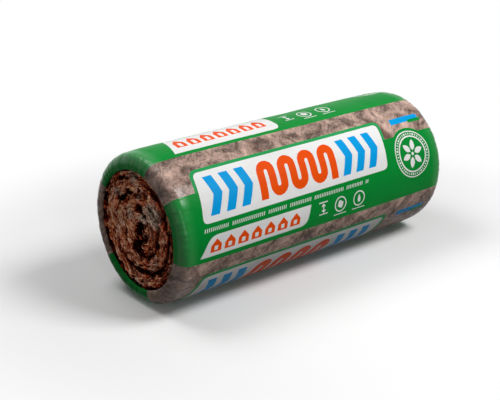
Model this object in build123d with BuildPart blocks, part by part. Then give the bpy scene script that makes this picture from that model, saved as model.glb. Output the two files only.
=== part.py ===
from build123d import *
import os
from math import ceil, cos, degrees, radians, sin

# Roll of mineral-wool insulation in a printed film sleeve, lying on its side.
# The roll's axis runs along X, the floor is Z = 0 and the origin is on the floor
# under the middle of the roll. All sizes are in millimetres.

# Sleeve of film, shrunk over the edges of both ends
roll_length = 1220  # over the two flat rims of the film
roll_diameter = 515  # over the film
film_thickness = 1
edge_rounding = 42  # outer radius where the film is drawn over an end's edge
rim_flat = 9  # flat rim inside that rounding, round the hole that the film leaves open
rim_curl = 8  # outer radius by which the hole's edge is tucked in on the wool

# Lap along the sleeve where the two edges of the film are welded
lap_width = 30
lap_height = 1
lap_angle = 200  # degrees round the roll, from the front face over the top

# Blanket of mineral wool, wound up into the roll
film_clearance = 0.4  # between the wool and the film all round it
heart_diameter = 36  # hollow left in the middle of the winding
turn_thickness = 56  # one turn of the compressed blanket
turn_bevel = 12  # width and depth by which a turn's edge falls away to the next turn
gap_width = 4  # open gap between two turns, at the foot of those bevels
gap_depth = 30
winding_angle = 252  # degrees round the roll at which the gap opens beside the heart

# Straight steps in which the rounded edges and rims are turned, in a quarter circle
rounding_steps = 5
curl_steps = 2

# Heights and radii that follow from those sizes
roll_radius = roll_diameter / 2
half_length = roll_length / 2
opening_radius = roll_radius - edge_rounding - rim_flat - rim_curl
axis_line = Axis((0, 0, roll_radius), (1, 0, 0))
wool_inset = film_thickness + film_clearance
wool_face = half_length - rim_curl - film_clearance


def radial_plane(angle, offset=0):
    """Plane through a line parallel to the roll's axis: local X runs along the roll and
    local Y points away from the axis, at angle degrees from the front over the top.
    The line lies offset away from the roll's own axis, in that same direction."""
    outward = Vector(0, -1, 0).rotate(Axis.X, -angle)
    return Plane(
        origin=Vector(0, 0, roll_radius) + outward * offset,
        x_dir=(1, 0, 0),
        z_dir=Vector(1, 0, 0).cross(outward),
    )


def quarter_turn(centre, radius, first_angle, steps):
    """Points of a quarter circle that turns clockwise from first_angle in equal steps."""
    angles = [radians(first_angle - 90 * step / steps) for step in range(steps + 1)]
    return [(centre[0] + radius * cos(a), centre[1] + radius * sin(a)) for a in angles]


def edge_points(inset):
    """Points of one end's rounded edge, moved in from the film's outside by inset. They
    run from the straight wall to the flat rim."""
    centre = (half_length - edge_rounding, roll_radius - edge_rounding)
    return quarter_turn(centre, edge_rounding - inset, 90, rounding_steps)


def curl_points(inset):
    """Points of the tucked rim of one end's hole, from the flat rim to the film's edge."""
    centre = (half_length - rim_curl, opening_radius + rim_curl)
    return quarter_turn(centre, rim_curl - inset, 0, curl_steps)


# Film sleeve: a thin turned shell, open in the middle of each end
with BuildPart() as wrap_film:
    with BuildSketch(radial_plane(90)):
        with BuildLine():
            outside = edge_points(0) + curl_points(0)
            inside = edge_points(film_thickness) + curl_points(film_thickness)
            Polyline((0, roll_radius), *outside, *reversed(inside), (0, roll_radius - film_thickness))
            Line((0, roll_radius - film_thickness), (0, roll_radius))
        make_face()
        mirror(about=Plane.YZ)
    revolve(axis=axis_line)
    # Welded lap, a raised strip along the straight wall
    lap_sweep = degrees(lap_width / roll_radius)
    with BuildSketch(radial_plane(lap_angle + lap_sweep / 2)):
        with Locations((0, roll_radius - film_thickness / 2)):
            Rectangle(
                roll_length - 2 * edge_rounding,
                film_thickness / 2 + lap_height,
                align=(Align.CENTER, Align.MIN),
            )
    revolve(axis=axis_line, revolution_arc=lap_sweep)


def gap_section(plane, radius):
    """Section of the gap between two turns at both ends: bevels that fall away to a
    narrow cleft, open outwards to clear the wool under the film's rim."""
    cleft = gap_width / 2
    mouth = cleft + turn_bevel
    with BuildSketch(plane) as section:
        with BuildLine():
            Polyline(
                (half_length, radius - mouth),
                (wool_face, radius - mouth),
                (wool_face - turn_bevel, radius - cleft),
                (wool_face - gap_depth, radius),
                (wool_face - turn_bevel, radius + cleft),
                (wool_face, radius + mouth),
                (half_length, radius + mouth),
                close=True,
            )
        make_face()
        mirror(about=Plane.YZ)
    return section.sketch


# Wound blanket: one turned solid with its bore, its turns cut into both ends
with BuildPart() as wool_roll:
    with BuildSketch(radial_plane(90)):
        with BuildLine():
            flat_end = curl_points(wool_inset)[0]
            face_edge = (wool_face, opening_radius + wool_inset)
            heart = (wool_face, heart_diameter / 2)
            Polyline((0, roll_radius - wool_inset), *edge_points(wool_inset), flat_end, face_edge, heart)
            Polyline(heart, (0, heart_diameter / 2), (0, roll_radius - wool_inset))
        make_face()
        mirror(about=Plane.YZ)
    revolve(axis=axis_line)
    # The gap is a spiral of half circles, whose centres lie by turns on either side of
    # the roll's axis, so that each half turn is half a blanket further out
    step = turn_thickness / 2
    first_radius = heart_diameter / 2 + step
    half_turns = ceil((opening_radius - first_radius) / step) + 1
    for turn in range(half_turns):
        angle = winding_angle + 180 * turn
        plane = radial_plane(angle, -step / 2)
        section = gap_section(plane, first_radius + step * turn)
        revolve(section, axis=Axis(plane.origin, (-1, 0, 0)), revolution_arc=180, mode=Mode.SUBTRACT)

wrap_film.part.label = "wrap_film"
wool_roll.part.label = "wool_roll"

os.makedirs("parts", exist_ok=True)
export_step(wrap_film.part, "parts/wrap_film.step")
export_step(wool_roll.part, "parts/wool_roll.step")
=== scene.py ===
from math import ceil, cos, degrees, pi, radians, sin

import bmesh
import bpy
import numpy as np
from bpy.props import FloatProperty, FloatVectorProperty, PointerProperty
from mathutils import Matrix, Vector, noise
from mathutils.geometry import delaunay_2d_cdt


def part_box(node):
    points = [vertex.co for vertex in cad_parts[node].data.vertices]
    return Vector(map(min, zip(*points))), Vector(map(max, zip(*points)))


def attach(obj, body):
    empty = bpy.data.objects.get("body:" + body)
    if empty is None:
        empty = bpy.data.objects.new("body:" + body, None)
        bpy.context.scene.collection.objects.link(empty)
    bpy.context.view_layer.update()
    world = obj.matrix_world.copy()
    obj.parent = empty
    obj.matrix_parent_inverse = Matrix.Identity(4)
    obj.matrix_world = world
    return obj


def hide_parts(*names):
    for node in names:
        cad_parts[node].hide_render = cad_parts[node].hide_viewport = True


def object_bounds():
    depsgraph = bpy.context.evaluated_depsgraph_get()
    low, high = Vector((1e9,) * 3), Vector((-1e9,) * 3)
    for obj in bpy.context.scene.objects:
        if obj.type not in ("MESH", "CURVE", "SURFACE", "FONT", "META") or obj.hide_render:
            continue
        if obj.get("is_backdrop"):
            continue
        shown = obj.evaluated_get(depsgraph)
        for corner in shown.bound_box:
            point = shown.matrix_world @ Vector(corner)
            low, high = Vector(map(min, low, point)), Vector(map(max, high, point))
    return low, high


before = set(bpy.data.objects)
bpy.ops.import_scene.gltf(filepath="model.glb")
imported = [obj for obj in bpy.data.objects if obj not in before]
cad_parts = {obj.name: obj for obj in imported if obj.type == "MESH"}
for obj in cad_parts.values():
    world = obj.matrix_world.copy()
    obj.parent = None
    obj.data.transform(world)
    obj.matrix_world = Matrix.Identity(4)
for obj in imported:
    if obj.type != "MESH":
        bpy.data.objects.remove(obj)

# The looks of a roll of mineral-wool insulation in its printed film sleeve. The roll lies
# along X. A place on the sleeve is given by its distance along the film from the middle of
# the roll, in metres, and by its angle round the roll, from the front over the top. The
# print is laid out flat in those two, cut out as geometry and wrapped on the roll.

bl_info = {
    "name": "Insulation roll",
    "version": (1, 0, 0),
    "blender": (4, 5, 0),
    "location": "3D View > Sidebar > Insulation roll",
    "description": "Dresses a roll of mineral wool in its printed film and shows its wound ends",
    "category": "Object",
}

LOW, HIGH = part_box("wrap_film")
HALF_LENGTH = HIGH.x
RADIUS = (HIGH.y - LOW.y) / 2
AXIS_HEIGHT = (HIGH.z + LOW.z) / 2
METRES_PER_DEGREE = radians(1) * RADIUS
NEAR, FAR = -1, 1


# Kinds of setting, each with its unit or subtype

def Length(name, description, default):
    return FloatProperty(name=name, description=description, default=default, unit="LENGTH")


def Turn(name, description, in_degrees):
    return FloatProperty(name=name, description=description, default=radians(in_degrees), unit="ROTATION")


def Power(name, description, default):
    return FloatProperty(name=name, description=description, default=default, unit="POWER")


def Colour(name, description, default):
    return FloatVectorProperty(name=name, description=description, default=default, subtype="COLOR")


def Place(name, description, default):
    return FloatVectorProperty(name=name, description=description, default=default, subtype="TRANSLATION")


class RollSizes(bpy.types.PropertyGroup):
    """Sizes of the sleeve and of the wound wool, which repeat those of the solids"""

    edge_rounding: Length("Edge rounding", "Radius where the film is drawn over an end's edge", 0.042)
    rim_flat: Length("Rim flat", "Width of the flat rim round the film's open end", 0.009)
    rim_curl: Length("Rim curl", "Radius by which the film's edge is tucked in on the wool", 0.008)
    curl_sweep: Turn("Curl sweep", "Angle through which the tucked edge turns", 165)
    lap_angle: Turn("Lap angle", "Place of the welded lap round the roll", 200)
    lap_width: Length("Lap width", "Width of the welded lap", 0.030)
    lap_height: Length("Lap height", "Height of the lap over the film", 0.001)
    heart_radius: Length("Heart radius", "Radius of the hollow in the middle of the winding", 0.018)
    turn_thickness: Length("Turn thickness", "One turn of the compressed blanket", 0.056)
    winding_angle: Turn("Winding angle", "Place round the roll where the first gap opens", 252)
    gap_depth: Length("Gap depth", "Depth of the gap between two turns", 0.030)


class PrintLayout(bpy.types.PropertyGroup):
    """Sizes of the print on the film"""

    panel_height: Turn("Panel height", "Height of a white panel, as an angle round the roll", 38)
    panel_left: Length("Panel left", "Near end of the white panel, along the roll", -0.505)
    panel_right: Length("Panel right", "Far end of the white panel, along the roll", 0.322)
    outline_width: Length("Outline width", "Green outline round a white panel", 0.0125)
    slant: FloatProperty(
        name="Slant", description="Lean of the panels and marks, along the roll for their height",
        default=0.17)
    seal_radius: Length("Seal radius", "Outer radius of the round seal", 0.088)


class InkColours(bpy.types.PropertyGroup):
    """Colours of the film's inks and of the wool under the clear film"""

    green: Colour("Green", "Green of the printed bands", (0.001, 0.240, 0.032))
    outline: Colour("Outline green", "Thin green over the pale wool", (0.021, 0.31, 0.085))
    white: Colour("White", "White ink", (0.80, 0.80, 0.79))
    orange: Colour("Orange", "Orange marks", (0.80, 0.075, 0.002))
    blue: Colour("Blue", "Blue marks", (0.001, 0.32, 0.72))
    # the dark wool colour stands partly for painted shade where the wool lies low in its creases
    wool_dark: Colour("Dark wool", "Wool in its creases", (0.060, 0.028, 0.019))
    wool_light: Colour("Light wool", "Wool pressed on the film", (0.55, 0.375, 0.305))


class StageSettings(bpy.types.PropertyGroup):
    """Camera and light"""

    camera_place: Place("Camera place", "Where the camera stands", (-2.4023, -2.6911, 1.5777))
    camera_aim: Place("Camera aim", "Point that the camera looks at", (-0.0816, 0.0510, 0.2209))
    lens: FloatProperty(
        name="Lens", description="Focal length in millimetres on a 36 mm sensor", default=77.6)
    key_power: Power("Key light", "Power of the large lamp high in front", 84.0)
    back_power: Power("Back light", "Power of the large lamp high behind", 42.0)
    edge_power: Power("Edge light", "Power of the tall lamp that glints on the near rounded edge", 16.0)
    end_power: Power("End light", "Power of the soft lamp before the near end", 4.0)
    sky: FloatProperty(
        name="Sky", description="Strength of the even light from all round", default=0.10)


def sizes():
    return bpy.context.scene.roll_sizes


def layout():
    return bpy.context.scene.print_layout


def inks():
    return bpy.context.scene.ink_colours


# Film surface

DENT_DEPTH = 0.0011
BULGE_DEPTH = 0.0005
SAG_DEPTH, SAG_WIDTH = 0.003, 0.09
PLEAT_DEPTH, PLEAT_WIDTH = 0.0016, 0.06
PLEAT_START = 0.03  # how far up the straight wall the pleats reach
PLEAT_END = 0.012  # length over which they run out at the film's tucked edge


def straight_half():
    """Half the length of the film's straight wall."""
    return HALF_LENGTH - sizes().edge_rounding


def rounding_arc():
    """Length of the film over one end's rounded edge."""
    return sizes().edge_rounding * pi / 2


def half_section_length():
    """Length of the film from the middle of the roll to its tucked edge."""
    s = sizes()
    return straight_half() + rounding_arc() + s.rim_flat + s.rim_curl * s.curl_sweep


def opening_radius():
    s = sizes()
    return RADIUS - s.edge_rounding - s.rim_flat - s.rim_curl


def section(along, inset=0.0):
    """Place on the film's section at a distance along it from the middle of the roll: its
    position along the roll, its radius, and its outward direction in those two."""
    s = sizes()
    side = np.sign(along)
    rest = np.abs(along)
    straight, arc = straight_half(), rounding_arc()
    turn = np.clip((rest - straight) / s.edge_rounding, 0, pi / 2)
    flat = np.clip(rest - straight - arc, 0, s.rim_flat)
    curl = np.clip(rest - straight - arc - s.rim_flat, 0, None) / s.rim_curl
    x = np.minimum(rest, straight) + s.edge_rounding * np.sin(turn) - s.rim_curl * (1 - np.cos(curl))
    r = RADIUS - s.edge_rounding * (1 - np.cos(turn)) - flat - s.rim_curl * np.sin(curl)
    out_x = np.sin(turn + curl)
    out_r = np.cos(turn + curl)
    return side * (x - inset * out_x), r - inset * out_r, side * out_x, out_r


def on_roll(x, radius, angle):
    """Points in the frame from places along the roll, radii and angles in radians."""
    return np.stack([x, -radius * np.cos(angle), AXIS_HEIGHT + radius * np.sin(angle)], axis=-1)


def noise_field(points, scale, offset=0.0, octaves=3):
    """Smooth noise, about -1 to 1, at points times scale."""
    shift = Vector((offset, offset * 1.7, -offset))
    scale = np.broadcast_to(np.asarray(scale, float), points.shape)
    values = [noise.fractal(Vector(p) + shift, 1.0, 2.0, octaves) for p in points * scale]
    return np.array(values)


def film_sink(along, angle):
    """How far the film dips below its solid: soft dents all over, the small bulges of the
    wool behind it, sagging shoulders and the pleats that shrinking leaves near both ends."""
    straight, arc = straight_half(), rounding_arc()
    rest = np.abs(along)
    ring = np.stack([along, RADIUS * np.cos(angle), RADIUS * np.sin(angle)], axis=-1)
    dents = DENT_DEPTH * (1 + noise_field(ring, 5.0, 3.1, 2))
    bulges = BULGE_DEPTH * (1 + noise_field(ring, 28.0, 8.4, 2))
    shoulder = np.clip((rest - straight + SAG_WIDTH) / SAG_WIDTH, 0, 1)
    sag = shoulder * shoulder * np.clip((straight + arc - rest) / arc, 0, 1)
    round_end = np.stack([np.cos(angle), np.sin(angle), np.sign(along) + along * 2.2], axis=-1)
    pleats = np.clip(1 - 3.0 * np.abs(noise_field(round_end, (7.0, 7.0, 1.0), 5.5, 2)), 0, 1)
    near_end = np.clip((rest - straight + PLEAT_START) / PLEAT_WIDTH, 0, 1)
    tucked = np.clip((half_section_length() - rest) / PLEAT_END, 0, 1)
    return dents + bulges + SAG_DEPTH * sag + near_end * tucked * PLEAT_DEPTH * pleats


def film_points(along, angle, lift=0.0):
    x, r, out_x, out_r = section(along)
    sink = film_sink(along, angle) - lift
    return on_roll(x - out_x * sink, r - out_r * sink, angle)


def film_normals(along, angle):
    """Outward normals of the dented film, from small steps along it and round it."""
    step = 0.0015
    turn = step / RADIUS
    across = film_points(along + step, angle) - film_points(along - step, angle)
    round_it = film_points(along, angle + turn) - film_points(along, angle - turn)
    normals = np.cross(across, round_it)
    normals = normals / np.maximum(np.linalg.norm(normals, axis=1, keepdims=True), 1e-12)
    _, _, out_x, out_r = section(along)
    outward = np.stack([out_x, -out_r * np.cos(angle), out_r * np.sin(angle)], axis=-1)
    return normals * np.sign(np.sum(normals * outward, axis=1, keepdims=True))


# Outlines of the print, in metres: along the roll, and round it from angle 0

def rounded(corners, radius, only=None, steps=5):
    """The outline of a polygon with arcs at its corners, or only at some of them. An arc
    takes up less than half of the sides that it joins."""
    outline = []
    count = len(corners)
    for i in range(count):
        if only and i not in only:
            outline.append(corners[i])
            continue
        corner = Vector(corners[i])
        before = Vector(corners[i - 1]) - corner
        after = Vector(corners[(i + 1) % count]) - corner
        reach = min(radius, before.length * 0.45, after.length * 0.45)
        start = corner + before.normalized() * reach
        end = corner + after.normalized() * reach
        for k in range(steps + 1):
            t = k / steps
            p = start * (1 - t) ** 2 + corner * 2 * t * (1 - t) + end * t ** 2
            outline.append((p.x, p.y))
    return outline


def slanted(left, right, low, high, lean=0.0, radius=0.0):
    """A slanted rectangle; its low edge lies to the left by lean times its height."""
    shift = lean * (high - low) / 2
    corners = [(left - shift, low), (right - shift, low), (right + shift, high), (left + shift, high)]
    return rounded(corners, radius) if radius else corners


def line(left, right, centre, thickness):
    return slanted(left, right, centre - thickness / 2, centre + thickness / 2)


def disc(x, v, radius, steps=40):
    turns = [2 * pi * k / steps for k in range(steps)]
    return [(x + radius * cos(t), v + radius * sin(t)) for t in turns]


def turned(points, x, v, angle):
    """Points turned by an angle in radians about their origin, which is put at x and v."""
    return [(x + a * cos(angle) - b * sin(angle), v + a * sin(angle) + b * cos(angle)) for a, b in points]


def thick_line(points, width):
    """The outline of an open line of the given width, with square ends."""
    points = [Vector(p) for p in points]
    left, right = [], []
    for i, p in enumerate(points):
        before = (p - points[i - 1]).normalized() if i else None
        after = (points[i + 1] - p).normalized() if i + 1 < len(points) else None
        before = before or after
        after = after or before
        across = Vector((-before.y - after.y, before.x + after.x)).normalized()
        half = width / 2 / max(0.5, across.dot(Vector((-after.y, after.x))))
        left.append(tuple(p + across * half))
        right.append(tuple(p - across * half))
    return left + right[::-1]


def lean_over(points, low, lean):
    """Slants points: they move along the roll by lean for their height over low."""
    return [(x + lean * (v - low), v) for x, v in points]


def meander(left, right, low, high, strokes, width):
    """A round-cornered winding line, like the hatching that stands for insulation on a
    drawing: strokes that run up and down, joined in turn at the top and the bottom."""
    pitch = (right - left - width) / (strokes - 1)
    bend = pitch / 2
    bend_steps = 8
    points = []
    for k in range(strokes):
        x = left + width / 2 + pitch * k
        start, end, sign = (high, low, -1) if k % 2 else (low, high, 1)
        first = start + sign * (bend + width / 2) if k else start
        last = end - sign * (bend + width / 2) if k < strokes - 1 else end
        points += [(x, first), (x, last)]
        if k < strokes - 1:
            for j in range(1, bend_steps):
                t = pi * j / bend_steps
                points.append((x + bend - bend * cos(t), last + sign * bend * sin(t)))
    return thick_line(points, width)


def chevron(x, low, high, reach, width):
    """A chevron that points along the roll."""
    middle = (low + high) / 2
    return [
        (x, low), (x + width, low), (x + width + reach, middle), (x + width, high),
        (x, high), (x + reach, middle),
    ]


def rise(angle):
    """Distance round the roll, in metres, of an angle in degrees."""
    return angle * METRES_PER_DEGREE


# What the print is made of: each function gives its shapes, from the lowest to the topmost,
# as the name of an ink and an outline

def panel(left, right, low, high):
    """White panel: a winding orange band between two groups of blue chevrons."""
    slant = layout().slant
    middle = low + (high - low) / 2
    margin, side = 0.021, 0.030
    base, top = low + margin, high - margin
    arrows, pitch = 3, 0.063
    room = arrows * pitch + margin
    yield "white", slanted(left, right, low, high, slant, 0.022)
    wave = meander(left + side + room, right - side - room, base, top, 8, 0.031)
    yield "orange", lean_over(wave, middle, slant)
    for first in (left + side, right - side - arrows * pitch):
        for k in range(arrows):
            mark = chevron(first + pitch * k, base, top, 0.024, 0.036)
            yield "blue", lean_over(mark, middle, slant)


def tag(left, right, low, high):
    """White tag with two round corners and a row of orange houses."""
    shift = 0.042
    corners = [(left, low), (right - shift * 0.45, low), (right, high), (left + shift, high)]
    yield "white", rounded(corners, 0.030, only=(1, 3))
    houses, lean = 7, 0.15
    pitch = (right - left - shift - 0.036) / houses
    middle = (low + high) / 2
    wide, tall = pitch * 0.76, min(0.62 * (high - low), 0.075)
    base, top = middle - tall / 2, middle + tall / 2
    eaves = base + tall * 0.52
    for k in range(houses):
        x = left + shift / 2 + 0.020 + pitch * k
        front = [(x, base), (x + wide, base), (x + wide, eaves), (x + wide / 2, top), (x, eaves)]
        door = slanted(x + wide * 0.33, x + wide * 0.67, base + 0.006, eaves - 0.002)
        yield "orange", lean_over(front, middle, lean)
        yield "white", lean_over(door, middle, lean)


def hatching(left, right, v):
    """A fine row of short slanted strokes, with a space after each group of them."""
    groups = (12, 17, 10)
    pitch, stroke, half, space = 0.0082, 0.0034, 0.0062, 0.012
    x, k = left, 0
    while x < right:
        for _ in range(groups[k % len(groups)]):
            if x < right:
                yield "white", slanted(x, x + stroke, v - half, v + half, 0.35)
            x += pitch
        x += space
        k += 1


def thickness_sign(x, v):
    """Two lines with a double arrow between them, which stand for a thickness."""
    half, reach, thickness = 0.021, 0.020, 0.004
    for side in (-1, 1):
        yield "white", line(x - reach, x + reach, v + side * half, thickness)
        tip = v + side * (half - thickness)
        back = tip - side * 0.011
        yield "white", [(x, tip), (x - side * 0.010, back), (x + side * 0.010, back)]
    yield "white", line(x - thickness / 2, x + thickness / 2, v, half)


def drop_mark(t):
    """Points of a drop, over a turn of t, in metres from its middle."""
    return 0.009 * sin(t) * sin(t / 2), 0.015 * cos(t) + 0.001


def leaf_mark(t):
    """Points of a leaning leaf, over a turn of t, in metres from its middle."""
    return 0.014 * cos(t) - 0.006 * sin(t) ** 3, 0.014 * sin(t) ** 3 + 0.006 * cos(t)


def ring_sign(x, v, mark):
    """A white ring with a mark in it, over a thin line."""
    outer, inner, steps = 0.028, 0.0235, 18
    yield "white", disc(x, v, outer)
    yield "green", disc(x, v, inner)
    yield "white", [(x + a, v + b) for a, b in (mark(2 * pi * k / steps) for k in range(steps))]
    yield "white", line(x - 0.030, x + 0.030, v - 0.036, 0.0032)


def seal(x, v, outer):
    """Round white seal: two rings with ticks between them and a rosette of leaves."""
    yield "white", disc(x, v, outer, 64)
    yield "green", disc(x, v, outer - 0.0042, 64)
    first, last = outer - 0.0155, outer - 0.0085
    ticks, leaves = 44, 6
    for k in range(ticks):
        half = 0.0021 if k % 4 else 0.0036
        tick = [(first, -half), (last, -half), (last, half), (first, half)]
        yield "white", turned(tick, x, v, 2 * pi * k / ticks)
    yield "white", disc(x, v, outer - 0.0190, 56)
    yield "green", disc(x, v, outer - 0.0245, 56)
    side = [(0.022, 0.0095), (0.034, 0.0115), (0.046, 0.007)]
    leaf = [(0.012, 0), *side, (0.054, 0), *[(a, -b) for a, b in reversed(side)]]
    for k in range(leaves):
        yield "white", turned(leaf, x, v, 2 * pi * (k + 0.25) / leaves)
    yield "white", disc(x, v, 0.006, 16)


# Places along the roll of what a band carries beside its panel, before the band's shift
TAG_SPAN = (-0.540, -0.071)
HATCHING_SPAN = (-0.519, 0.204)
THICKNESS_X, LEAF_X, DROP_X, SEAL_X = -0.015, 0.066, 0.156, 0.448
BLUE_BAR = (0.406, 0.550)
GREEN_BAR = (0.490, 0.558)

# The printed bands, in degrees round the roll: their edges at the roll's ends, their upper
# edge along the wall, the top of the panel that stands on it, the height of the tag, and
# the places of the signs and the seal. Their print is shifted along the roll, in metres.
BANDS = (
    {"low": -12, "rim_high": 39.5, "high": 39.5, "panel_high": 54.3, "shift": 0.0,
     "tag_height": 15.5, "signs": 0.3, "seal_at": 22.4},
    {"low": 73, "rim_high": 150, "high": 150, "panel_high": 165, "shift": 0.055,
     "tag_height": 31, "signs": 89, "seal_at": 116},
    {"low": -140, "rim_high": -76, "high": -60, "panel_high": -27, "shift": -0.018,
     "tag_height": 15.5, "signs": -127, "seal_at": -82},
)


def shifted(span, shift):
    return span[0] + shift, span[1] + shift


def band(low, rim_high, high, panel_high, shift, tag_height, signs, seal_at):
    """One printed band with its panel, tag, signs and seal."""
    p = layout()
    reach, edge = half_section_length(), p.outline_width
    panel_low = panel_high - degrees(p.panel_height)
    left, right = shifted((p.panel_left, p.panel_right), shift)
    base, top = rise(panel_low), rise(panel_high)
    yield "outline", slanted(left - edge, right + edge, base - edge, top + edge, p.slant, 0.030)
    yield "green", slanted(-reach, reach, rise(low), rise(rim_high))
    if high > rim_high:
        yield "green", slanted(p.panel_left - 0.03 + shift, reach, rise(rim_high) - 0.01, rise(high))
    seal_x, seal_v = SEAL_X + shift, rise(seal_at)
    yield "green", disc(seal_x, seal_v, p.seal_radius + 0.012, 64)
    yield from panel(left, right, base, top)
    tag_low = low + 3.8
    yield from tag(*shifted(TAG_SPAN, shift), rise(tag_low), rise(tag_low + tag_height))
    yield from hatching(*shifted(HATCHING_SPAN, shift), rise(panel_low - 4.6))
    yield from thickness_sign(THICKNESS_X + shift, rise(signs + 1.0))
    for x, mark in ((LEAF_X, leaf_mark), (DROP_X, drop_mark)):
        yield from ring_sign(x + shift, rise(signs), mark)
    yield from seal(seal_x, seal_v, p.seal_radius)
    bar = rise(panel_high - 1.8)
    yield "blue", slanted(*shifted(BLUE_BAR, shift), bar - 0.012, bar + 0.012, 0.15, 0.003)
    yield "green", slanted(*shifted(GREEN_BAR, shift), bar - 0.019, bar - 0.006, 0.4, 0.003)


# Cutting the print out of the film

FILM_COLUMNS = 240
CUT_STEP = 0.012  # longest edge along a cut
CUT_CLEARANCE = 0.0022  # how far the film's own points keep from a cut


def inside(outline, points):
    """Which of the points lie inside the outline, by crossings of a line to the right."""
    shape = np.array(outline)
    low, high = shape.min(axis=0), shape.max(axis=0)
    candidates = np.flatnonzero(np.all((points >= low) & (points <= high), axis=1))
    x, y = points[candidates, 0], points[candidates, 1]
    odd = np.zeros(len(candidates), bool)
    for (x0, y0), (x1, y1) in zip(shape, np.roll(shape, -1, axis=0)):
        if y0 == y1:
            continue
        crosses = (y0 > y) != (y1 > y)
        at = x0 + (y - y0) * (x1 - x0) / (y1 - y0)
        odd ^= crosses & (x < at)
    result = np.zeros(len(points), bool)
    result[candidates[odd]] = True
    return result


def split_edges(outline, longest):
    """The outline with points added so that no edge is longer than longest."""
    result = []
    for start, end in zip(outline, outline[1:] + outline[:1]):
        start, end = Vector(start), Vector(end)
        pieces = max(1, ceil((end - start).length / longest))
        result += [tuple(start.lerp(end, k / pieces)) for k in range(pieces)]
    return result


def grid_points(first_angle, reach):
    """Places for the film's mesh: wider apart on the straight wall than over the ends, and
    every second row shifted by nearly half a column."""
    straight = straight_half()
    steps = [(straight - 0.03, 0.0125), (straight + rounding_arc() + sizes().rim_flat, 0.005),
             (reach, 0.0025)]
    half = [0.0]
    for end, step in steps:
        start = half[-1]
        count = ceil((end - start) / step)
        half += [start + (end - start) * (k + 1) / count for k in range(count)]
    along = [-a for a in reversed(half[1:])] + half
    around = [rise(first_angle + 360 * k / FILM_COLUMNS) for k in range(FILM_COLUMNS + 1)]
    stagger = rise(180 / FILM_COLUMNS) * 0.98
    points = []
    for i, a in enumerate(along):
        for k, v in enumerate(around):
            inner = 0 < i < len(along) - 1 and 0 < k < FILM_COLUMNS
            points.append((a, v + stagger) if inner and i % 2 else (a, v))
    return np.array(points)


def near_outlines(points, outlines, distance):
    """Which points lie within about a distance of an outline, by a coarse grid of cells."""
    cells = set()
    for x, y in np.concatenate([np.array(o) for o in outlines]):
        column, row = int(x // distance), int(y // distance)
        cells.update((column + i, row + k) for i in (-1, 0, 1) for k in (-1, 0, 1))
    return np.array([(int(x // distance), int(y // distance)) in cells for x, y in points])


def film_regions():
    """The flat film as triangles, each with the ink that it has: points, triangles, inks."""
    first_angle = degrees(sizes().lap_angle) - 360
    shapes = [shape for place in BANDS for shape in band(**place)]
    low, high = rise(first_angle), rise(first_angle + 360)
    reach = half_section_length()
    points = grid_points(first_angle, reach)
    outlines = [split_edges(outline, CUT_STEP) for _, outline in shapes]
    fine = [split_edges(outline, CUT_STEP / 8) for _, outline in shapes]
    along, around = points.T
    border = (np.abs(along) > reach - 1e-6) | (around < low + 1e-6) | (around > high - 1e-6)
    keep = border | ~near_outlines(points, fine, CUT_CLEARANCE)
    verts = [Vector(p) for p in points[keep]]
    edges = []
    for outline in outlines:
        start = len(verts)
        verts += [Vector(p) for p in outline]
        edges += [(start + k, start + (k + 1) % len(outline)) for k in range(len(outline))]
    made, _, faces, _, _, _ = delaunay_2d_cdt(verts, edges, [], 0, 1e-6)
    flat = np.array([tuple(v) for v in made])
    triangles = np.array([f for f in faces if len(f) == 3])
    centres = flat[triangles].mean(axis=1)
    within = (np.abs(centres[:, 0]) < reach) & (centres[:, 1] > low) & (centres[:, 1] < high)
    triangles, centres = triangles[within], centres[within]
    ink = np.full(len(triangles), "clear", dtype=object)
    for name, outline in shapes:
        ink[inside(outline, centres)] = name
    return flat, triangles, ink


# Meshes and materials

def add_piece(name, points, faces, material, normals=None):
    """A smooth mesh object in the scene, riding on the roll's one body."""
    mesh = bpy.data.meshes.new(name)
    mesh.from_pydata([tuple(p) for p in points], [], [tuple(int(i) for i in f) for f in faces])
    mesh.validate()
    mesh.polygons.foreach_set("use_smooth", np.ones(len(mesh.polygons), bool))
    if normals is not None:
        mesh.normals_split_custom_set_from_vertices([tuple(n) for n in normals])
    mesh.update()
    piece = bpy.data.objects.new(name, mesh)
    bpy.context.scene.collection.objects.link(piece)
    mesh.materials.append(material)
    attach(piece, "root")
    return piece


def add_values(piece, **values):
    """Stores one number at each point of the piece, for its material."""
    for name, numbers in values.items():
        attribute = piece.data.attributes.new(name, "FLOAT", "POINT")
        attribute.data.foreach_set("value", np.asarray(numbers, np.float32))


def grid_faces(rows, columns, open_rows=False):
    """Quads between rows of points, the last of which joins the first. Each row is closed
    in the same way, unless the rows are open."""
    faces = []
    for i in range(rows):
        j = (i + 1) % rows
        for k in range(columns - open_rows):
            m = (k + 1) % columns
            faces.append((i * columns + k, i * columns + m, j * columns + m, j * columns + k))
    return faces


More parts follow.
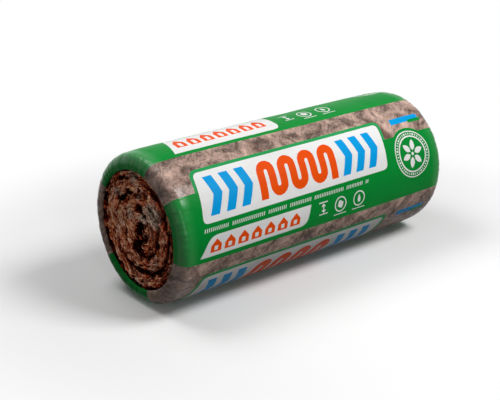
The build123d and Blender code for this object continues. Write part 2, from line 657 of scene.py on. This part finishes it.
class Nodes:
    """A tree of nodes, with short ways to add and join them."""

    # Sockets of a Mix node that mixes colours
    MIX_FACTOR, MIX_FIRST, MIX_SECOND, MIX_RESULT = 0, 6, 7, 2

    def __init__(self, tree):
        self.tree = tree

    def node(self, kind, inputs=None, **settings):
        """A new node with its settings and its inputs, which are given by name or number."""
        made = self.tree.nodes.new(kind)
        for key, value in settings.items():
            setattr(made, key, value)
        for key, value in (inputs or {}).items():
            self.put(value, made.inputs[key])
        return made

    def put(self, value, target):
        """Gives a socket another socket's value, a colour or a number."""
        if isinstance(value, bpy.types.NodeSocket):
            self.tree.links.new(value, target)
        elif target.type == "RGBA":
            target.default_value = (*value[:3], 1)
        else:
            target.default_value = value

    def attribute(self, name, output="Fac"):
        return self.node("ShaderNodeAttribute", attribute_name=name).outputs[output]

    def ramp(self, source, stops):
        """Colours at places from 0 to 1, given as (place, colour) pairs."""
        made = self.node("ShaderNodeValToRGB", {"Fac": source})
        elements = made.color_ramp.elements
        while len(elements) < len(stops):
            elements.new(0.5)
        for element, (place, colour) in zip(elements, stops):
            element.position = place
            element.color = (*colour[:3], 1)
        return made.outputs["Color"]

    def mix(self, amount, first, second, blend="MIX"):
        inputs = {self.MIX_FACTOR: amount, self.MIX_FIRST: first, self.MIX_SECOND: second}
        made = self.node("ShaderNodeMix", inputs, data_type="RGBA", blend_type=blend)
        return made.outputs[self.MIX_RESULT]

    def math(self, operation, first, second):
        return self.node("ShaderNodeMath", {0: first, 1: second}, operation=operation).outputs[0]

    def blend(self, first, share, second):
        """The first value, with share of the second one added."""
        return self.math("ADD", self.math("MULTIPLY", second, share), first)

    def smooth_step(self, value, low, high):
        """0 up to low, 1 from high on and a smooth rise between them."""
        inputs = {"Value": value, "From Min": low, "From Max": high}
        return self.node("ShaderNodeMapRange", inputs, interpolation_type="SMOOTHSTEP").outputs["Result"]

    def bump(self, height, strength, distance):
        inputs = {"Height": height, "Strength": strength, "Distance": distance}
        return self.node("ShaderNodeBump", inputs).outputs["Normal"]

    def white_rays(self):
        """1 for the rays that see the white background: from the camera, glossy and through
        something clear. 0 for the rays that carry light from surface to surface."""
        rays = self.node("ShaderNodeLightPath").outputs
        thrown = self.math("MAXIMUM", rays["Is Glossy Ray"], rays["Is Transmission Ray"])
        return self.math("MAXIMUM", rays["Is Camera Ray"], thrown)


class Shader(Nodes):
    """The nodes of a new material."""

    def __init__(self, name):
        self.material = bpy.data.materials.new(name)
        self.material.use_nodes = True
        super().__init__(self.material.node_tree)
        self.bsdf = self.tree.nodes["Principled BSDF"]
        self.place = self.node("ShaderNodeTexCoord").outputs["Object"]

    def noise(self, scale, detail=4.0, roughness=0.55, stretch=None, distortion=0.0, turn=0.0):
        """Noise over the piece; stretch scales it apart along X, Y and Z, after a turn
        about Z."""
        place = self.place
        if turn:
            inputs = {"Vector": place, "Angle": turn}
            place = self.node("ShaderNodeVectorRotate", inputs, rotation_type="Z_AXIS").outputs["Vector"]
        if stretch:
            place = self.node("ShaderNodeMapping", {"Vector": place, "Scale": stretch}).outputs["Vector"]
        inputs = {"Vector": place, "Scale": scale, "Detail": detail, "Roughness": roughness,
                  "Distortion": distortion}
        return self.node("ShaderNodeTexNoise", inputs).outputs["Fac"]

    def set(self, **values):
        for key, value in values.items():
            self.put(value, self.bsdf.inputs[key.replace("_", " ")])


def shade(colour, factor):
    return tuple(min(1.0, c * factor) for c in colour[:3])


def along_film(shader):
    """Distance along the film from the middle of the roll."""
    parts = shader.node("ShaderNodeSeparateXYZ", {0: shader.attribute("laid_flat", "Vector")})
    return shader.math("ABSOLUTE", parts.outputs["X"], 0)


def painted_rim_shade(shader):
    """A multiplier of painted shade, which darkens the film from the middle of the rounded edge to the rim."""
    straight = straight_half()
    hollow = shader.smooth_step(along_film(shader), straight + 0.010, straight + 0.046)
    return shader.ramp(hollow, [(0.0, (1, 1, 1)), (1.0, (0.60, 0.58, 0.57))])


def taut_film(shader):
    """1 where the film is drawn tight and smooth over an end's edge, and 0 elsewhere."""
    straight = straight_half()
    along = along_film(shader)
    inner = shader.smooth_step(along, straight - 0.03, straight + 0.01)
    outer = shader.smooth_step(along, straight + sizes().edge_rounding * 1.1, straight + rounding_arc())
    return shader.math("SUBTRACT", inner, outer)


def ink_material(name, colour):
    """Printed plastic film: even ink with faint streaks along the roll, painted shade from the middle of
    the rounded edge to the rim, a soft sheen that is glossier where the film is taut, and the film's fine
    wrinkles."""
    s = Shader(name)
    streaks = s.noise(9.0, 5.0, 0.6, (0.35, 1.6, 1.6))
    even = s.ramp(streaks, [(0.25, shade(colour, 0.90)), (0.75, shade(colour, 1.06))])
    taut = taut_film(s)
    worn = s.blend(0.34, 0.16, s.noise(18.0, 3.0))
    s.set(
        # painted shade darkens the ink from the middle of the rounded edge to the rim
        Base_Color=s.mix(1.0, even, painted_rim_shade(s), "MULTIPLY"),
        Roughness=s.blend(worn, -0.15, taut),
        Specular_IOR_Level=s.blend(0.04, 0.22, taut),
        Normal=s.bump(s.noise(55.0, 4.0, 0.6, (0.5, 1, 1)), 0.15, 0.0012),
    )
    return s.material


def window_material():
    """Clear film with wool pressed against it: marbled clumps and slanting fibres, darker where they lie
    low, partly in the wool's own tone and partly by painted shade, and dark diagonal creases of painted
    shade, all under a glossy coat."""
    s = Shader("wool_under_clear_film")
    s.place = s.attribute("laid_flat", "Vector")
    clumps = s.noise(12.5, 9.0, 0.64, (1.0, 1.35, 1), 0.9, -0.5)
    fibres = s.noise(120.0, 6.0, 0.75, (0.35, 1.2, 1), 0.7, 0.75)
    tufts = s.noise(46.0, 6.0, 0.7, (0.5, 1.3, 1), 1.6, -0.95)
    creases = s.noise(8.0, 5.0, 0.6, (0.5, 1.8, 1), 1.1, 1.05)
    height = s.blend(s.blend(s.math("MULTIPLY", tufts, 0.28), 0.18, fibres), 0.54, clumps)
    dark, light = inks().wool_dark, inks().wool_light
    # the low parts of the wool are dark partly in its own tone and partly by painted shade
    body = s.ramp(height, [
        (0.37, shade(dark, 1.3)), (0.44, shade(light, 0.28)), (0.50, shade(light, 0.64)),
        (0.56, shade(light, 1.0)), (0.65, shade(light, 1.45)),
    ])
    # painted shade in the dark diagonal creases
    shadow = s.ramp(creases, [(0.32, (0.34, 0.29, 0.27)), (0.46, (1, 1, 1))])
    crease_shaded = s.mix(1.0, body, shadow, "MULTIPLY")
    s.set(
        # painted shade darkens the wool under the film from the middle of the rounded edge to the rim
        Base_Color=s.mix(1.0, crease_shaded, painted_rim_shade(s), "MULTIPLY"),
        Roughness=0.85,
        Specular_IOR_Level=0.05,
        Normal=s.bump(height, 0.8, 0.010),
        Coat_Weight=s.blend(0.35, 0.5, taut_film(s)),
        Coat_Roughness=0.2,
        Coat_IOR=1.32,
        Coat_Normal=s.bump(s.noise(30.0, 3.0, 0.6, (0.5, 1, 1)), 0.3, 0.0015),
    )
    return s.material


def lap_material():
    """Two layers of clear film welded on each other: milky, with fine ribs."""
    s = Shader("welded_film")
    streaks = s.noise(30.0, 4.0, 0.6, (0.3, 1, 1))
    s.set(
        Base_Color=s.ramp(streaks, [(0.3, (0.30, 0.22, 0.18)), (0.7, (0.52, 0.46, 0.42))]),
        Roughness=0.3,
        Normal=s.bump(s.noise(120.0, 3.0, 0.6, (2.0, 0.5, 0.5)), 0.4, 0.001),
    )
    return s.material


# Colours of bare wool, from near-black painted shade in its crevices to the tips of its fibres
RUST = ((0.12, (0.008, 0.0004, 0.0002)), (0.27, (0.095, 0.006, 0.002)), (0.40, (0.48, 0.048, 0.010)),
        (0.53, (0.86, 0.22, 0.065)), (0.68, (1.0, 0.66, 0.42)))
TAN = ((0.12, (0.008, 0.0006, 0.0003)), (0.27, (0.080, 0.014, 0.006)), (0.40, (0.40, 0.082, 0.036)),
       (0.53, (0.78, 0.33, 0.19)), (0.68, (1.0, 0.76, 0.58)))
GREY = ((0.08, (0.012, 0.004, 0.002)), (0.28, (0.30, 0.19, 0.13)), (0.50, (0.95, 0.80, 0.66)))


def bare_wool_material(name):
    """Bare wool at the ends: crevices made black by painted shade, rust, and tan or greyish fibres. One
    attribute says how deep and enclosed a point lies and darkens it by that much painted shade, and pale
    says where the wool is greyish."""
    s = Shader(name)
    grain = s.noise(240.0, 5.0, 0.7, distortion=1.0)
    clumps = s.noise(38.0, 6.0, 0.65, distortion=0.8)
    fibres = s.blend(s.math("MULTIPLY", clumps, 0.55), 0.45, grain)
    # the fibres' level falls with the painted shade of deep, enclosed places
    level = s.math("SUBTRACT", s.blend(-0.32, 1.9, fibres), s.attribute("shut"))
    tone = s.ramp(s.noise(13.0, 3.0, distortion=0.6), [(0.46, (0, 0, 0)), (0.66, (1, 1, 1))])
    wool = s.mix(tone, s.ramp(level, RUST), s.ramp(level, TAN))
    s.set(
        Base_Color=s.mix(s.attribute("pale"), wool, s.ramp(level, GREY)),
        Roughness=0.95,
        Specular_IOR_Level=0.04,
        Normal=s.bump(fibres, 0.7, 0.004),
    )
    return s.material


# Wound wool

# Places on the torn ends, as radius in metres and angle round the roll in degrees. An arc of
# the gap between turns that stands open has its half length in degrees, a pocket where the
# fibre has pulled out its width and depth, and a greyish patch its width.
OPEN_ARCS = ((0.147, 278, 62), (0.124, 130, 28), (0.170, 20, 30))
POCKETS = ((0.074, 87, 0.017, 0.030), (0.022, 45, 0.015, 0.022), (0.061, 258, 0.031, 0.020),
           (0.045, 320, 0.018, 0.012), (0.150, 30, 0.026, 0.010), (0.150, 72, 0.015, 0.010))
PALE_PATCHES = ((0.112, 50, 0.040), (0.097, 30, 0.028), (0.049, 71, 0.023), (0.063, 141, 0.024),
                (0.113, 91, 0.016), (0.169, 97, 0.028), (0.160, 140, 0.020))
ARC_REACH = 0.021  # how far an arc lies from its radius at most
CLEFT_SHUT, CLEFT_OPENING = 0.0022, 0.0042  # a cleft's half width when shut, and what it gains
BEVEL_DEPTH, BEVEL_WIDTH = 0.008, 0.017
FUNNEL_DEPTH, FUNNEL_WIDTH = 0.055, 0.010
RIM_DEPTH, RIM_WIDTH = 0.004, 0.006

UNDER_FILM = 0.009  # how far the wool's side is kept below the film, clear of its dents
END_REACH = 0.09  # how far the wool of an end piece goes back from its face
END_COLUMNS = 560
END_PITCH = 0.0018  # between the rings of an end's face


def gap_distance(radius, angle):
    """Distance in metres to the nearest gap between two turns, on the spiral of the solid."""
    s = sizes()
    first = s.heart_radius + s.turn_thickness / 4
    wound = (radius - first) / s.turn_thickness - (angle - s.winding_angle) / (2 * pi)
    part = wound - np.floor(wound)
    return np.minimum(part, 1 - part) * s.turn_thickness


def distance_from(place, radius, angle):
    """Distances in metres from a place that is given as radius and angle in degrees."""
    x = radius * np.cos(angle) - place[0] * cos(radians(place[1]))
    y = radius * np.sin(angle) - place[0] * sin(radians(place[1]))
    return np.hypot(x, y)


def gap_opening(radius, angle):
    """How far the gap between two turns stands open, from 0 to 1."""
    apart = np.full_like(radius, 0.16)
    for place in OPEN_ARCS:
        away = np.abs((np.degrees(angle) - place[1] + 180) % 360 - 180) / place[2]
        apart += 0.75 * np.clip(1.4 - away, 0, 1) * (np.abs(radius - place[0]) < ARC_REACH)
    return np.clip(apart, 0, 1)


def ridges(wound, angle, around, across, shift, offset, octaves, sharpness):
    """Ridges of fibre that run with the turns: 1 on top of them and 0 between them. Around
    and across say how fast they change round the roll and outwards."""
    places = np.stack([np.cos(angle) * around, np.sin(angle) * around, wound * across + shift], axis=-1)
    return np.clip(1 - sharpness * np.abs(noise_field(places, 1.0, offset, octaves)), 0, 1)


def end_relief(radius, angle, end):
    """The torn end of the winding: how deep a point lies behind the end's face, how much painted shade it
    gets for lying deep and enclosed, and how pale it is, from 0 to 1."""
    s = sizes()
    level = np.full_like(radius, end * 3.0)
    flat = np.stack([radius * np.cos(angle), radius * np.sin(angle), level], axis=-1)
    crumple = noise_field(flat, 75.0, 2.9, 3)
    lumps = noise_field(flat, 24.0, 7.7, 2)
    wound = radius + 0.007 * noise_field(flat, 20.0, 1.3, 2) + 0.0022 * crumple
    layers = ridges(wound, angle, 3.2, 92.0, end * 9.0, 6.2, 2, 2.6)
    threads = ridges(wound, angle, 7.5, 190.0, end * 5.0, 3.3, 1, 2.4)
    torn = 0.0062 * (1 - layers) + 0.0026 * (1 - threads) + 0.0045 * np.abs(crumple) + 0.004 * (0.6 - lumps)
    gap = np.where(radius < s.heart_radius + 0.014, s.turn_thickness, gap_distance(wound, angle))
    apart = gap_opening(radius, angle)
    cleft = s.gap_depth * apart * np.exp(-(gap / (CLEFT_SHUT + CLEFT_OPENING * apart)) ** 2)
    bevel = BEVEL_DEPTH * np.clip(1 - gap / BEVEL_WIDTH, 0, 1) ** 1.5
    pockets = np.zeros_like(radius)
    for place in POCKETS:
        away = distance_from(place, radius, angle) / place[2] + 0.55 * crumple
        pockets = np.maximum(pockets, place[3] * np.clip(1.25 - away, 0, 1) ** 0.7)
    heart_edge = s.heart_radius * (1.0 + 0.25 * np.cos(3 * angle + 0.6)) + 0.004 * crumple
    funnel = FUNNEL_DEPTH * np.clip((heart_edge + 0.006 - radius) / FUNNEL_WIDTH, 0, 1) ** 1.4
    rim = RIM_DEPTH * np.clip((radius - opening_radius() + RIM_WIDTH) / RIM_WIDTH, 0, 1)
    depth = np.maximum(np.maximum(cleft, funnel), pockets) + bevel + torn + rim
    # painted shade: darker the deeper a point lies and between the ridges of fibre, a little lighter on the
    # threads
    shut = 0.02 + 0.75 * np.clip((depth - 0.004) / 0.022, 0, 1) + 0.34 * (1 - layers) - 0.10 * threads
    shut = shut - 0.08 * np.sin(angle)  # painted light: the upper turns are painted lighter than the lower ones, as if lit from above
    pale = np.zeros_like(radius)
    for place in PALE_PATCHES:
        away = distance_from(place, radius, angle) / place[2] + 0.7 * lumps
        pale = np.maximum(pale, np.clip(1.5 - 1.5 * away, 0, 1))
    return depth, shut, pale


def wool_end(end, name, material):
    """One end of the wool: its torn face, its rounded edge under the film, and its bore."""
    s = sizes()
    angle = 2 * pi * np.arange(END_COLUMNS) / END_COLUMNS
    inner, outer = s.heart_radius * 0.72, opening_radius() + 0.003
    face = np.linspace(inner, outer, ceil((outer - inner) / END_PITCH) + 1)
    radius, around = np.repeat(face, END_COLUMNS), np.tile(angle, len(face))
    depth, shut, pale = end_relief(radius, around, end)
    at = HALF_LENGTH - s.rim_curl
    points = [on_roll(end * (at - depth), radius, around)]
    x, r, _, _ = section(straight_half() + rounding_arc() * np.linspace(1, 0, 6), UNDER_FILM)
    x, r = np.append(x, [at - END_REACH] * 2), np.append(r, [r[-1], inner])
    for place, ring in zip(x, r):
        points.append(on_roll(np.full(END_COLUMNS, end * place), ring, angle))
    faces = grid_faces(len(face) + len(x), END_COLUMNS)
    if end == NEAR:
        faces = [f[::-1] for f in faces]
    piece = add_piece(name, np.concatenate(points), faces, material)
    hidden = np.full(len(x) * END_COLUMNS, 0.3)
    add_values(piece, shut=np.append(shut, hidden), pale=np.append(pale, hidden * 0))


class ROLL_OT_wool_ends(bpy.types.Operator):
    """Makes both torn ends of the wound wool, with the spiral of turns"""

    bl_idname = "roll.wool_ends"
    bl_label = "Wool ends"

    def execute(self, context):
        material = bare_wool_material("torn_wool")
        for end, name in ((NEAR, "wool_end_near"), (FAR, "wool_end_far")):
            wool_end(end, name, material)
        return {"FINISHED"}


class ROLL_OT_wool_middle(bpy.types.Operator):
    """Makes the wool between the two ends, round the hollow at its heart"""

    bl_idname = "roll.wool_middle"
    bl_label = "Wool under the film"

    def execute(self, context):
        columns, rows = 96, 40
        angle = 2 * pi * np.arange(columns) / columns
        reach = HALF_LENGTH - sizes().rim_curl - END_REACH
        rings = [(x, RADIUS - UNDER_FILM) for x in np.linspace(-reach, reach, rows)]
        rings += [(x, sizes().heart_radius * 0.9) for x in (reach, -reach)]
        points = []
        for x, r in rings:
            dents = 0.002 * noise_field(on_roll(np.full(columns, x), r, angle), 14.0, 2.2, 3)
            points.append(on_roll(np.full(columns, x), r - np.abs(dents), angle))
        faces = [f[::-1] for f in grid_faces(len(rings), columns)]
        material = bare_wool_material("hidden_wool")
        piece = add_piece("wool_middle", np.concatenate(points), faces, material)
        count = len(piece.data.vertices)
        add_values(piece, shut=np.full(count, 0.15), pale=np.full(count, 0.4))
        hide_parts("wool_roll")
        return {"FINISHED"}


FLAKES = 3000  # at each end
FLAKE_STEPS = 6  # along a flake
DEEPEST_FLAKE = 0.016  # behind the end's face
FLAKE_TILT = 0.0007  # how much further out of the end a flake's outer edge lies than its middle


def wool_flakes(end, name, material, random):
    """Thin bent strips of fibre that run about with the turns, raised in their middle."""
    low, high = sizes().heart_radius + 0.012, opening_radius() - 0.009
    radius = np.sqrt(random.uniform(low ** 2, high ** 2, FLAKES))
    angle = random.uniform(0, 2 * pi, FLAKES)
    depth, shut, pale = end_relief(radius, angle, end)
    bright = random.uniform(-0.22, 0.08, FLAKES)
    at = HALF_LENGTH - sizes().rim_curl
    points, faces, shades_and_tones, pales = [], [], [], []
    for k in range(FLAKES):
        length = random.uniform(0.008, 0.034)
        width = random.uniform(0.0007, 0.0026)
        lift = random.uniform(0.0005, 0.0045)
        lean, curl = random.normal(0, 0.30), random.normal(0, 0.0035)
        if depth[k] > DEEPEST_FLAKE:
            continue
        start = len(points)
        for j in range(FLAKE_STEPS + 1):
            t = j / FLAKE_STEPS - 0.5
            a = angle[k] + t * length * cos(lean) / radius[k]
            r = radius[k] + sin(lean) * t * length + curl * (4 * t * t - 0.5)
            x = at - depth[k] + lift * (1 - 4 * t * t)
            half = width / 2 * (1 - 3.4 * t * t)
            for side in (-1, 1):
                edge = r + side * half
                points.append((end * (x + side * FLAKE_TILT), -edge * cos(a), AXIS_HEIGHT + edge * sin(a)))
                # a random tone for each flake, with painted shade towards its ends, where it sinks into the
                # wool, and some of the painted shade of the place where it stands
                shades_and_tones.append(bright[k] + 0.4 * abs(t) + 0.4 * shut[k])
                pales.append(pale[k] * 0.8 + 0.04)
        for j in range(FLAKE_STEPS):
            first = start + 2 * j
            quad = (first, first + 2, first + 3, first + 1)
            faces.append(quad if end == NEAR else quad[::-1])
    piece = add_piece(name, points, faces, material)
    add_values(piece, shut=shades_and_tones, pale=pales)


class ROLL_OT_flakes(bpy.types.Operator):
    """Makes the torn flakes and curls of fibre that stand out of both ends"""

    bl_idname = "roll.flakes"
    bl_label = "Torn flakes"

    def execute(self, context):
        random = np.random.default_rng(11)
        material = bare_wool_material("torn_flakes")
        for end, name in ((NEAR, "wool_flakes_near"), (FAR, "wool_flakes_far")):
            wool_flakes(end, name, material, random)
        return {"FINISHED"}


# The film's pieces, each with the name of its ink, which the clear one lacks
FILM_PIECES = (
    ("clear", None), ("green", "green_ink"), ("outline", "thin_green_ink"), ("white", "white_ink"),
    ("orange", "orange_ink"), ("blue", "blue_ink"),
)


class ROLL_OT_film(bpy.types.Operator):
    """Makes the film sleeve, cut into its inks and its clear windows"""

    bl_idname = "roll.film"
    bl_label = "Printed film"

    def execute(self, context):
        flat, triangles, ink = film_regions()
        along, angle = flat[:, 0], flat[:, 1] / RADIUS
        points = film_points(along, angle)
        normals = film_normals(along, angle)
        for name, ink_name in FILM_PIECES:
            material = ink_material(ink_name, getattr(inks(), name)) if ink_name else window_material()
            used, index = np.unique(triangles[ink == name], return_inverse=True)
            faces = index.reshape(-1, 3)
            piece = add_piece("film_" + name, points[used], faces, material, normals[used])
            unrolled = piece.data.attributes.new("laid_flat", "FLOAT_VECTOR", "POINT")
            flat_places = np.column_stack([flat[used], np.zeros(len(used))])
            unrolled.data.foreach_set("vector", flat_places.astype(np.float32).ravel())
            if name == "green":
                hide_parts("wrap_film")
        return {"FINISHED"}


class ROLL_OT_lap(bpy.types.Operator):
    """Makes the welded lap that runs along the back of the sleeve"""

    bl_idname = "roll.lap"
    bl_label = "Welded lap"

    def execute(self, context):
        s = sizes()
        half = s.lap_width / 2
        lengthwise, crosswise = 120, 8
        foot, edge = -0.001, s.lap_height * 0.7
        along = np.linspace(-straight_half(), straight_half(), lengthwise + 1)
        outline = [(-half, foot), (-half, edge)]
        outline += [(half * (2 * k / crosswise - 1), s.lap_height) for k in range(1, crosswise)]
        outline += [(half, edge), (half, foot)]
        points = []
        for offset, height in outline:
            angle = s.lap_angle + (offset + 0.0008 * np.sin(along * 31)) / RADIUS
            points.append(film_points(along, angle - 2 * pi, height))
        columns = len(along)
        faces = grid_faces(len(outline), columns, open_rows=True)
        for end in (0, columns - 1):
            ring = [i * columns + end for i in range(len(outline))]
            faces.append(ring if end else ring[::-1])
        add_piece("film_lap", np.concatenate(points), faces, lap_material())
        return {"FINISHED"}


# Stage

# Each lamp's name, place, width and height in metres, and the setting that holds its power
LAMPS = (
    ("key_lamp", (0.95, -1.9, 2.9), (1.2, 1.2), "key_power"),
    ("back_lamp", (-0.8, 1.2, 3.0), (1.6, 1.6), "back_power"),
    ("edge_lamp", (-1.7, -3.2, 1.15), (0.3, 1.6), "edge_power"),
    ("end_lamp", (-3.2, -0.9, 1.3), (1.2, 1.2), "end_power"),
)
FLOOR_RADIUS = 9.0
FLOOR_DROP = 0.0005  # below the frame's floor, clear of the roll's lowest points
FADE_START, FADE_END = 0.75, 1.5  # distances over which the floor fades into white


def stand(piece, place, point):
    """Puts a lamp or camera in its place and turns it to look at a point."""
    piece.location = place
    look = Vector(point) - Vector(place)
    piece.rotation_euler = look.to_track_quat("-Z", "Y").to_euler()
    bpy.context.scene.collection.objects.link(piece)


def floor_material():
    """Pale floor that fades into white with the distance from the roll. It gives back
    little light to the roll."""
    s = Shader("pale_floor")
    seen = s.white_rays()
    pale = s.ramp(s.noise(3.0), [(0.0, (0.94,) * 3), (1.0, (0.96,) * 3)])
    s.set(Base_Color=s.mix(seen, (0.10,) * 3, pale), Roughness=0.9, Specular_IOR_Level=0.1)
    distance = s.node("ShaderNodeVectorMath", {0: s.place}, operation="LENGTH").outputs["Value"]
    fade = s.math("MULTIPLY", s.smooth_step(distance, FADE_START, FADE_END), seen)
    glow = s.node("ShaderNodeEmission").outputs[0]
    faded = s.node("ShaderNodeMixShader", {0: fade, 1: s.bsdf.outputs[0], 2: glow}).outputs[0]
    s.put(faded, s.tree.nodes["Material Output"].inputs["Surface"])
    return s.material


class ROLL_OT_stage(bpy.types.Operator):
    """Sets up the pale floor, the soft lamps, the white surroundings and the camera"""

    bl_idname = "roll.stage"
    bl_label = "Stage"

    def execute(self, context):
        scene = context.scene
        settings = scene.stage_settings
        scene.view_settings.view_transform = "Standard"
        camera = bpy.data.objects.new("camera", bpy.data.cameras.new("camera"))
        camera.data.sensor_width = 36
        camera.data.lens = settings.lens
        stand(camera, settings.camera_place, settings.camera_aim)
        scene.camera = camera
        self.floor(scene)
        for name, place, (width, height), power in LAMPS:
            light = bpy.data.lights.new(name, "AREA")
            light.shape = "RECTANGLE"
            light.size, light.size_y = width, height
            light.energy = getattr(settings, power)
            stand(bpy.data.objects.new(name, light), place, (0, 0, AXIS_HEIGHT))
        self.sky(scene, settings.sky)
        return {"FINISHED"}

    def floor(self, scene):
        """A wide flat disc just under the roll."""
        mesh = bpy.data.meshes.new("floor")
        form = bmesh.new()
        bmesh.ops.create_circle(form, cap_ends=True, radius=FLOOR_RADIUS, segments=96)
        form.to_mesh(mesh)
        form.free()
        mesh.materials.append(floor_material())
        floor = bpy.data.objects.new("floor", mesh)
        floor.location.z = -FLOOR_DROP
        scene.collection.objects.link(floor)
        floor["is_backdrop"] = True

    def sky(self, scene, strength):
        """Even light from all round, white where it is seen."""
        world = bpy.data.worlds.new("studio")
        world.use_nodes = True
        nodes = Nodes(world.node_tree)
        background = nodes.tree.nodes["Background"]
        nodes.put((1, 1, 1), background.inputs["Color"])
        nodes.put(nodes.math("MAXIMUM", nodes.white_rays(), strength), background.inputs["Strength"])
        scene.world = world


class ROLL_PT_panel(bpy.types.Panel):
    """Lists the steps that dress the roll, and its settings"""

    bl_idname = "ROLL_PT_panel"
    bl_label = "Insulation roll"
    bl_space_type = "VIEW_3D"
    bl_region_type = "UI"
    bl_category = "Insulation roll"

    def draw(self, context):
        for step in STEPS:
            self.layout.operator(step.bl_idname)
        for name, group in GROUPS.items():
            box = self.layout.box()
            for key in group.__annotations__:
                box.prop(getattr(context.scene, name), key)


STEPS = (
    ROLL_OT_stage, ROLL_OT_film, ROLL_OT_lap, ROLL_OT_wool_ends, ROLL_OT_wool_middle, ROLL_OT_flakes,
)
GROUPS = {
    "roll_sizes": RollSizes,
    "print_layout": PrintLayout,
    "ink_colours": InkColours,
    "stage_settings": StageSettings,
}


def register():
    for group in GROUPS.values():
        bpy.utils.register_class(group)
    for name, group in GROUPS.items():
        setattr(bpy.types.Scene, name, PointerProperty(type=group))
    for step in STEPS + (ROLL_PT_panel,):
        bpy.utils.register_class(step)


def unregister():
    for step in reversed(STEPS + (ROLL_PT_panel,)):
        bpy.utils.unregister_class(step)
    for name in GROUPS:
        delattr(bpy.types.Scene, name)
    for group in GROUPS.values():
        bpy.utils.unregister_class(group)


def main():
    cad_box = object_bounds()
    register()
    for step in STEPS:
        group, name = step.bl_idname.split(".")
        getattr(getattr(bpy.ops, group), name)()
    boxes = {"cad": cad_box, "visual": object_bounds()}
    {name: [list(corner) for corner in box] for name, box in boxes.items()}


if __name__ == "__main__":
    main()
